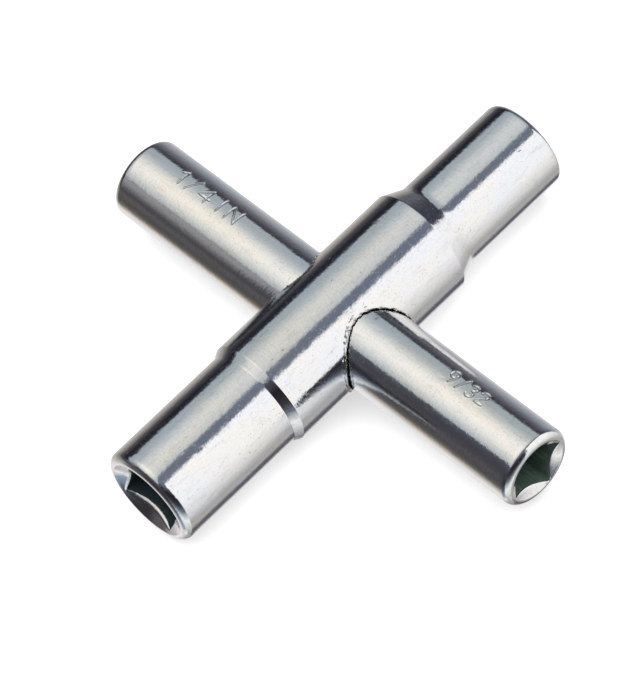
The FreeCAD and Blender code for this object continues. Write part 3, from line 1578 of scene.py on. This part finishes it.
@dataclass(frozen=True)
class Studio:
    """White floor, soft overhead light, and the panels that the plated metal mirrors.

    The room's sides, the front panel and the bank of lamps are seen by reflections only.
    """

    far: RoomSide = RoomSide(-180, 180, 1, (
        (-78, "8e8b8c"), (-70, "bdbabc"), (-62, "e2dfdf"), (-49, "dcd8d7"), (-38, "bfbab8"),
        (-26, "a8a5a3"), (-12, "827e7a"), (-5, "504f53"), (4, "3a3a3f"), (12, "1e1e25"),
        (21, "282b36"), (50, "686f7d")))
    right: RoomSide = RoomSide(46, 99, 14, (
        (-78, "8e8b8c"), (-70, "bdbabc"), (-60, "e0dee0"), (-50, "dedfe3"), (-37, "bdbec4"),
        (-23, "a3a4aa"), (-8, "888c93"), (2, "6c6f78"), (9, "5b5b64"), (16, "4a4950"),
        (23, "383a43"), (30, "3c424e"), (60, "686f7d")))
    left: RoomSide = RoomSide(-116, -44, 16, (
        (-78, "aaa6a4"), (-60, "dad5d2"), (-49, "c2bdb6"), (-43, "aaa398"), (-38, "7c7469"),
        (-32, "5b5654"), (-22, "4c4a4b"), (-8, "5b5859"), (2, "4a484d"), (16, "3f3f46"),
        (30, "4b4e57"), (50, "686f7d")))
    low_left: RoomSide = RoomSide(-106, -66, 16, (
        (-78, "aaa6a4"), (-66, "ece8e4"), (-57, "8c9baa"), (-45, "77879b"), (-36, "565c66"),
        (-22, "3d3e44"), (-9, "2f2e32"), (2, "3a393e"), (16, "3f3f46"), (30, "4b4e57"),
        (50, "686f7d")))
    near_left: RoomSide = RoomSide(-184, -104, 24, (
        (-78, "919598"), (-64, "b4b7b9"), (-50, "d2d4d2"), (-36, "ebeeee"), (-24, "bcc0c0"),
        (-10, "666d77"), (5, "39383f"), (20, "2a262c"), (32, "222026"), (44, "464449"),
        (60, "686f7d")))
    front: RoomSide = RoomSide(99, 174, 7, (
        (-80, "6e6a6b"), (-69, "56565f"), (-65, "6c6c72"), (-60, "a5a5a3"), (-47, "a4a4a2"),
        (-38, "b6b6b5"), (-27, "d2d2d2"), (-10, "e4e4e4"), (2, "f1f1f1"), (60, "f8f7f7")))
    seam_soft: float = 3.0
    front_facing: float = 163.0
    front_top: float = 1.62
    front_soft: float = 0.16
    foot_line: tuple[float, float] = (-0.01, 0.09)
    foot_below: tuple[float, float] = (-62.0, -56.0)
    foot_side: tuple[float, float] = (0.04, 0.14)
    bank_edge: str = "9ca6ab"
    bank_heart: str = "f6f1e7"
    bank_sides: tuple[float, float] = (-1.33, 1.66)
    bank_soft: float = 0.14
    bank_near: tuple[float, float] = (-0.19, 0.15)
    bank_near_soft: float = 0.11
    bank_far: tuple[float, float] = (2.28, -0.23)
    bank_far_soft: float = 0.4
    heart_place: tuple[float, float] = (-0.15, 0.36)
    heart_spread: float = 0.36
    heart_left: float = 0.68
    backdrop: str = "fbfbfb"
    reflectance: float = 0.8
    floor_radius: float = 1.5
    lamp_power: float = 30.0
    lamp_size: float = 1.6
    lamp_height: float = 0.9
    card_x: float = -0.12
    card_y: tuple[float, float] = (0.073, 0.17)
    card_z: tuple[float, float] = (0.016, 0.1)
    card_fade: tuple[float, float] = (10.0, 75.0)
    card_low: str = "4a4a4d"
    card_high: str = "8c8c8f"

    def ramp(self, n: Nodes, height: Socket, side: RoomSide) -> Socket:
        """Colour of one side of the room by height above the horizon.

        Args:
            n: The world's nodes.
            height: Angle above the horizon, in degrees.
            side: The side.

        Returns:
            The colour.
        """
        node = n.add("ShaderNodeValToRGB", None, {0: n.math("MULTIPLY_ADD", height, 1 / 180, 0.5)})
        elements = node.color_ramp.elements
        elements.remove(elements[1])
        for index, (angle, colour) in enumerate(side.colours):
            element = elements[0] if index == 0 else elements.new(0.5 + angle / 180)
            element.position = 0.5 + angle / 180
            element.color = linear(colour)
        return node.outputs[0]

    def build_world(self) -> None:
        """Make the world that the metal mirrors."""
        world = bpy.data.worlds.new("studio")
        bpy.context.scene.world = world
        world.use_nodes = True
        n = Nodes(world.node_tree)
        n.tree.nodes.clear()
        way = Direction.read(n)
        room = self.ramp(n, way.height, self.far)
        for side in (self.right, self.left, self.near_left, self.low_left):
            share = n.between(way.heading, side.start, side.end, side.soft)
            room = n.mix(share, room, self.ramp(n, way.height, side))
        beyond = n.ease(way.heading, self.front.end - self.seam_soft,
                        self.front.end + self.seam_soft)
        room = n.mix(beyond, room, self.ramp(n, way.height, self.near_left))
        room = self.add_bank(n, self.add_front(n, room, way), way)
        path = n.add("ShaderNodeLightPath").outputs["Is Camera Ray"]
        strength = n.math("MULTIPLY_ADD", path, 1 - 1 / self.reflectance, 1 / self.reflectance)
        glow = n.add("ShaderNodeBackground", None,
                     {0: n.mix(path, room, self.backdrop), 1: strength})
        n.add("ShaderNodeOutputWorld", None, {0: glow.outputs[0]})

    def add_front(self, n: Nodes, room: Socket, way: Direction) -> Socket:
        """Lay the tall white panel in front of the object over the room.

        Args:
            n: The world's nodes.
            room: Colour of the room.
            way: The direction looked in.

        Returns:
            The colour with the panel.
        """
        facing = math.radians(self.front_facing)
        ahead = n.plus(n.times(way.x, math.sin(facing)), n.times(way.y, math.cos(facing)))
        up = n.math("DIVIDE", way.z, n.most(ahead, 0.001))
        # The panel's foot runs on under the object, as far as a line along X.
        below = n.math("DIVIDE", way.y, n.most(n.times(way.z, -1.0), 0.001))
        foot = n.times(n.ease(below, *self.foot_line, 1.0, 0.0),
                       n.ease(way.height, *self.foot_below, 1.0, 0.0))
        foot = n.times(foot, n.ease(way.x, *self.foot_side))
        panel = n.between(way.heading, self.front.start, self.front.end, self.front.soft)
        top = n.ease(up, self.front_top - self.front_soft, self.front_top + self.front_soft,
                     1.0, 0.0)
        share = n.times(n.most(foot, panel), top)
        return n.mix(share, room, self.ramp(n, way.height, self.front))

    def add_bank(self, n: Nodes, room: Socket, way: Direction) -> Socket:
        """Lay the bank of lamps overhead over the room, brightest at its heart.

        Args:
            n: The world's nodes.
            room: Colour of the room.
            way: The direction looked in.

        Returns:
            The colour with the bank.
        """
        above = n.most(way.z, 0.001)
        across, away = n.math("DIVIDE", way.x, above), n.math("DIVIDE", way.y, above)
        share = n.between(across, *self.bank_sides, self.bank_soft)
        for (place, slope), soft, ends in ((self.bank_near, self.bank_near_soft, (0.0, 1.0)),
                                           (self.bank_far, self.bank_far_soft, (1.0, 0.0))):
            past = n.math("MULTIPLY_ADD", across, -slope, away)
            share = n.times(share, n.ease(past, place - soft / 2, place + soft / 2, *ends))
        from_x = n.plus(across, -self.heart_place[0])
        from_y = n.plus(away, -self.heart_place[1])
        # The lamps fade more slowly towards -X.
        from_x = n.most(from_x, n.times(from_x, -self.heart_left))
        far = n.plus(n.times(from_x, from_x), n.times(from_y, from_y))
        heart = n.math("EXPONENT", n.times(far, -1 / self.heart_spread))
        return n.mix(share, room, n.mix(heart, self.bank_edge, self.bank_heart))

    def build_floor(self, low: float) -> None:
        """Lay the floor under the object and hang the soft light over it.

        Args:
            low: Height of the object's lowest point, in metres.
        """
        bpy.ops.mesh.primitive_circle_add(vertices=96, radius=self.floor_radius,
                                          fill_type="NGON", location=(0, 0, 0))
        floor = bpy.context.object
        floor.name = "floor"
        for vertex in floor.data.vertices:
            vertex.co.z += low
        floor.data.materials.append(OpalAcrylic("opal_acrylic").build())
        floor.visible_glossy = False
        floor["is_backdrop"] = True
        lamp = bpy.data.lights.new("overhead_softbox", "AREA")
        lamp.shape, lamp.size, lamp.energy = "DISK", self.lamp_size, self.lamp_power
        light = add_object("overhead_softbox", lamp)
        light.location = (0, 0, self.lamp_height)
        light.visible_glossy = light.visible_camera = False

    def build_card(self) -> None:
        """Stand a grey card at the far left, which only the arm towards +Y mirrors."""
        card = bpy.data.meshes.new("grey_card")
        (near, far), (bottom, top) = self.card_y, self.card_z
        card.from_pydata([(self.card_x, y, z) for y, z in (
            (near, bottom), (far, bottom), (far, top), (near, top))], [], [(0, 1, 2, 3)])
        paint, n, _ = new_finish("lit_grey_card")
        n.tree.nodes.clear()
        height = n.add("ShaderNodeSeparateXYZ", None, {0: n.millimetres()}).outputs[2]
        tone = n.mix(n.ease(height, *self.card_fade), self.card_low, self.card_high)
        glow = n.add("ShaderNodeEmission", None,
                     {"Color": tone, "Strength": 1 / self.reflectance})
        n.add("ShaderNodeOutputMaterial", None, {0: glow.outputs[0]})
        card.materials.append(paint)
        piece = add_object("grey_card", card)
        piece.visible_camera = piece.visible_diffuse = piece.visible_shadow = False
        piece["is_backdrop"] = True


@dataclass(frozen=True)
class Viewpoint:
    """The camera, over the front left, tilted a little, with a long lens.

    Angles are in degrees. The aim is how far beside the origin it points, in millimetres to
    the right and up, as the tilted camera sees them.
    """

    azimuth: float = -33.76
    height: float = 56.24
    tilt: float = -14.66
    distance: float = 1.0059
    aim: tuple[float, float] = (2.46, 2.617)
    lens: float = 374.0
    sensor: float = 36.0
    clip: tuple[float, float] = (0.05, 20.0)

    def build(self) -> None:
        """Stand the camera and make it the scene's."""
        azimuth, height, tilt = (math.radians(a) for a in (self.azimuth, self.height, self.tilt))
        back = Vector((math.sin(azimuth) * math.cos(height), -math.cos(azimuth) * math.cos(height),
                       math.sin(height)))
        right = Vector((math.cos(azimuth), math.sin(azimuth), 0))
        up = back.cross(right)
        turned_right = math.cos(tilt) * right + math.sin(tilt) * up
        turned_up = math.cos(tilt) * up - math.sin(tilt) * right
        aim = (turned_right * self.aim[0] + turned_up * self.aim[1]) * -MM
        lens = bpy.data.cameras.new("camera")
        lens.lens, lens.sensor_width = self.lens, self.sensor
        lens.clip_start, lens.clip_end = self.clip
        camera = add_object("camera", lens)
        camera.rotation_mode = "QUATERNION"
        camera.location = back * self.distance
        facing = (aim - camera.location).to_track_quat("-Z", "Y")
        camera.rotation_quaternion = facing @ Quaternion((0, 0, 1), tilt)
        bpy.context.scene.camera = camera


# --------------------------------------------------------------------------- the whole key


def main() -> None:
    """Build the two tubes, the torn edges of the hole and the studio."""
    logging.basicConfig(level=logging.INFO, format="%(name)s: %(message)s")
    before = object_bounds()
    body, cross = BodyTube(), CrossTube()
    body_plate = PlatedSteel("zinc_plated_steel_body", Lengthwise.BODY,
                             stain_centre=(-6.1, -8.25, 2.7), stain_reach=(0.3, 1.1),
                             hole_radius=body.hole.radius)
    body_inside = BroachedSteel("oily_broached_steel_body", Lengthwise.BODY, dark="1f2b30",
                                light="2c383c", oil="1e2624", deep_wall_colour="4a5a60")
    body_skin = body.build(body_plate.build(), body_inside.build())
    LOG.info("body tube: %d faces", len(body_skin.data.polygons))
    cross_plate = PlatedSteel("zinc_plated_steel_cross", Lengthwise.CROSS,
                              stain_centre=(1.54, -7.6, 6.16), stain_reach=(0.3, 0.9))
    cross_inside = BroachedSteel("oily_broached_steel_cross", Lengthwise.CROSS)
    cross_skin = cross.build(cross_plate.build(), cross_inside.build())
    LOG.info("cross tube: %d faces", len(cross_skin.data.polygons))
    burrs = HoleBurrs(body).build(TornSteel("torn_steel").build())
    LOG.info("hole burrs: %d faces", len(burrs.data.polygons))
    for piece, node, slot in ((body_skin, body.node, "body_zinc"),
                              (cross_skin, cross.node, "cross_zinc")):
        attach(piece, "root")
        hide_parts(node)
    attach(burrs, "root")
    studio = Studio()
    studio.build_world()
    studio.build_floor(before[0][2])
    studio.build_card()
    Viewpoint().build()
    LOG.info("studio and camera: ready")
    bpy.context.scene.view_settings.view_transform = "Standard"


if __name__ == "__main__":
    main()
